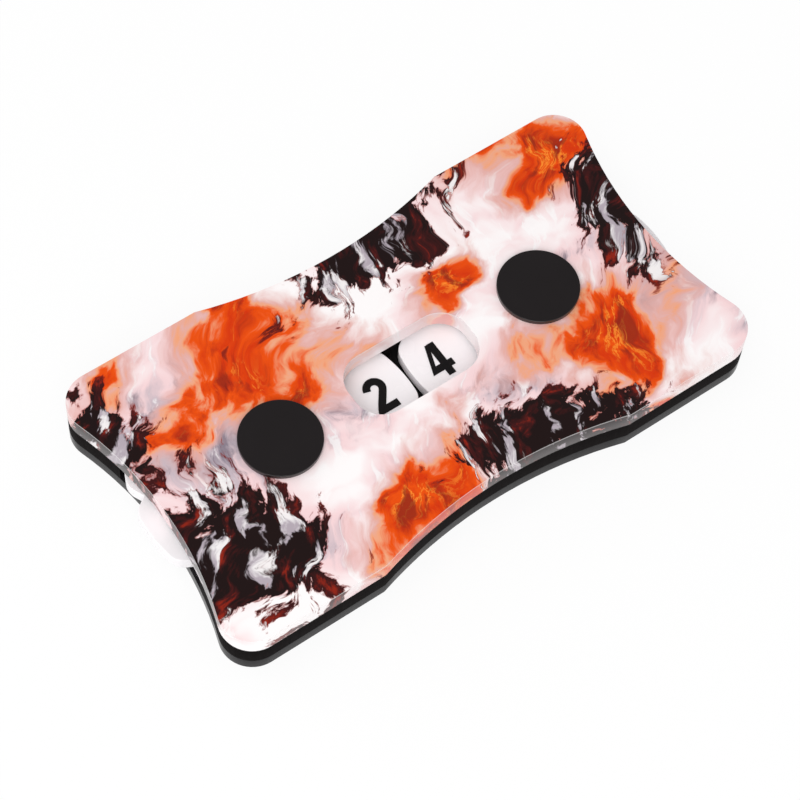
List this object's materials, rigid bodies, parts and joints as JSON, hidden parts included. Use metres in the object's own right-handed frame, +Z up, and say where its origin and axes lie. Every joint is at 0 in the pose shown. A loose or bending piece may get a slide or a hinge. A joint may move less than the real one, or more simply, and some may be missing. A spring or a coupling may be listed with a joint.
{
  "type": "life counter",
  "caption": "Flat pocket score counter: laminated waisted plates, a window over two thumb-turned number dials that spin on binding posts.",
  "frame": {"origin": "middle of the flat underside", "axes": "+X along the length, from the tens dial to the units dial; +Z up out of the printed face, along both dial pivots; +Y towards the tops of the figures in the window"},
  "size_m": [0.0822, 0.0442, 0.0087],
  "materials": {
    "smoke_plate": "dark smoke acrylic, satin cut edge",
    "white_dial": "white cast acrylic, soft gloss",
    "black_figures": "matt black print",
    "black_cap": "matt black",
    "printed_face": "glossy multicolour print",
    "steel_screw": "blackened steel",
    "black_plate": "black cast acrylic, satin cut edge",
    "tape": "thin bonding film",
    "clear_plate": "clear cast acrylic, polished edge",
    "nylon_washer": "natural nylon"
  },
  "bodies": {
    "case": {"bottom_plate": "smoke_plate", "post_tens": "black_cap", "post_units": "black_cap", "print_film": "printed_face", "screw_tens": "steel_screw", "screw_units": "steel_screw", "spacer_front": "black_plate", "spacer_rear": "black_plate", "tape_lower_front": "tape", "tape_lower_rear": "tape", "tape_upper_front": "tape", "tape_upper_rear": "tape", "top_plate": "clear_plate", "washer_lower_tens": "nylon_washer", "washer_lower_units": "nylon_washer", "washer_upper_tens": "nylon_washer", "washer_upper_units": "nylon_washer"},
    "dial_tens": {"dial_tens": "white_dial", "figures_tens": "black_figures"},
    "dial_units": {"dial_units": "white_dial", "figures_units": "black_figures"}
  },
  "joints": [
    {"name": "dial_tens_spin", "type": "hinge", "parent": "case", "child": "dial_tens", "pos_m": [-0.0206, 0, 0.0033], "axis": [0, 0, 1], "continuous": true},
    {"name": "dial_units_spin", "type": "hinge", "parent": "case", "child": "dial_units", "pos_m": [0.0206, 0, 0.0033], "axis": [0, 0, 1], "continuous": true}
  ]
}
